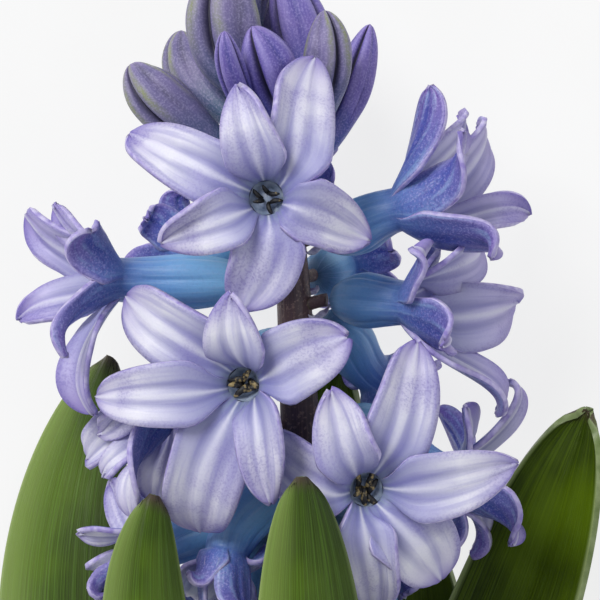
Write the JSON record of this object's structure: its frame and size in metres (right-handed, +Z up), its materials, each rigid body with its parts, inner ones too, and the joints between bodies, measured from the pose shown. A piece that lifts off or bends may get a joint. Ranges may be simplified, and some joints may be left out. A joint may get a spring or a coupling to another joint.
{
  "type": "hyacinth flower",
  "caption": "Cut hyacinth spike lying down: curved fleshy scape, star-shaped lilac-blue florets with reflexed lobes, closed buds at the top, strap leaves sheathing the foot.",
  "frame": {"origin": "middle of the footprint on the surface the flower lies on", "axes": "+Y from the cut end towards the buds, +Z up from the surface, +X to the right as seen from above with the buds away"},
  "size_m": [0.0982, 0.2112, 0.0564],
  "materials": {
    "anther": "matt near-black anthers",
    "bud_grey_lilac": "waxy matt bud skin, green at the tip",
    "bud_violet": "waxy matt bud skin",
    "leaf_green": "satin leaf skin",
    "lilac_petal": "waxy matt flesh of tube and lobes",
    "scape_brown": "matt brown-purple stem skin"
  },
  "bodies": {
    "root": {"bud_back": "bud_grey_lilac", "bud_back_left": "bud_grey_lilac", "bud_back_right": "bud_grey_lilac", "bud_crown": "bud_grey_lilac", "bud_far_right": "bud_violet", "bud_half_open": "bud_violet", "bud_left": "bud_grey_lilac", "bud_right": "bud_grey_lilac", "bud_small": "bud_violet", "bud_top": "bud_grey_lilac", "bud_upper_left": "bud_grey_lilac", "bud_upper_right": "bud_violet", "floret_a": "lilac_petal", "floret_b": "lilac_petal", "floret_c": "lilac_petal", "floret_d": "lilac_petal", "floret_e": "lilac_petal", "floret_f": "lilac_petal", "floret_h": "lilac_petal", "floret_i": "lilac_petal", "floret_j": "lilac_petal", "floret_k": "lilac_petal", "floret_l": "lilac_petal", "floret_m": "lilac_petal", "floret_p": "lilac_petal", "floret_q": "lilac_petal", "floret_r": "lilac_petal", "floret_s": "lilac_petal", "floret_t": "lilac_petal", "floret_u": "lilac_petal", "floret_v": "lilac_petal", "floret_w": "lilac_petal", "leaf_front": "leaf_green", "leaf_front_left": "leaf_green", "leaf_left": "leaf_green", "leaf_low_right": "leaf_green", "leaf_right": "leaf_green", "leaf_under": "leaf_green", "scape": "scape_brown", "stamens_a": "anther", "stamens_b": "anther", "stamens_c": "anther", "stamens_d": "anther", "stamens_e": "anther", "stamens_f": "anther", "stamens_h": "anther", "stamens_i": "anther", "stamens_j": "anther", "stamens_k": "anther", "stamens_l": "anther", "stamens_m": "anther", "stamens_p": "anther", "stamens_q": "anther", "stamens_r": "anther", "stamens_s": "anther", "stamens_t": "anther", "stamens_u": "anther", "stamens_v": "anther", "stamens_w": "anther"}
  },
  "joints": []
}
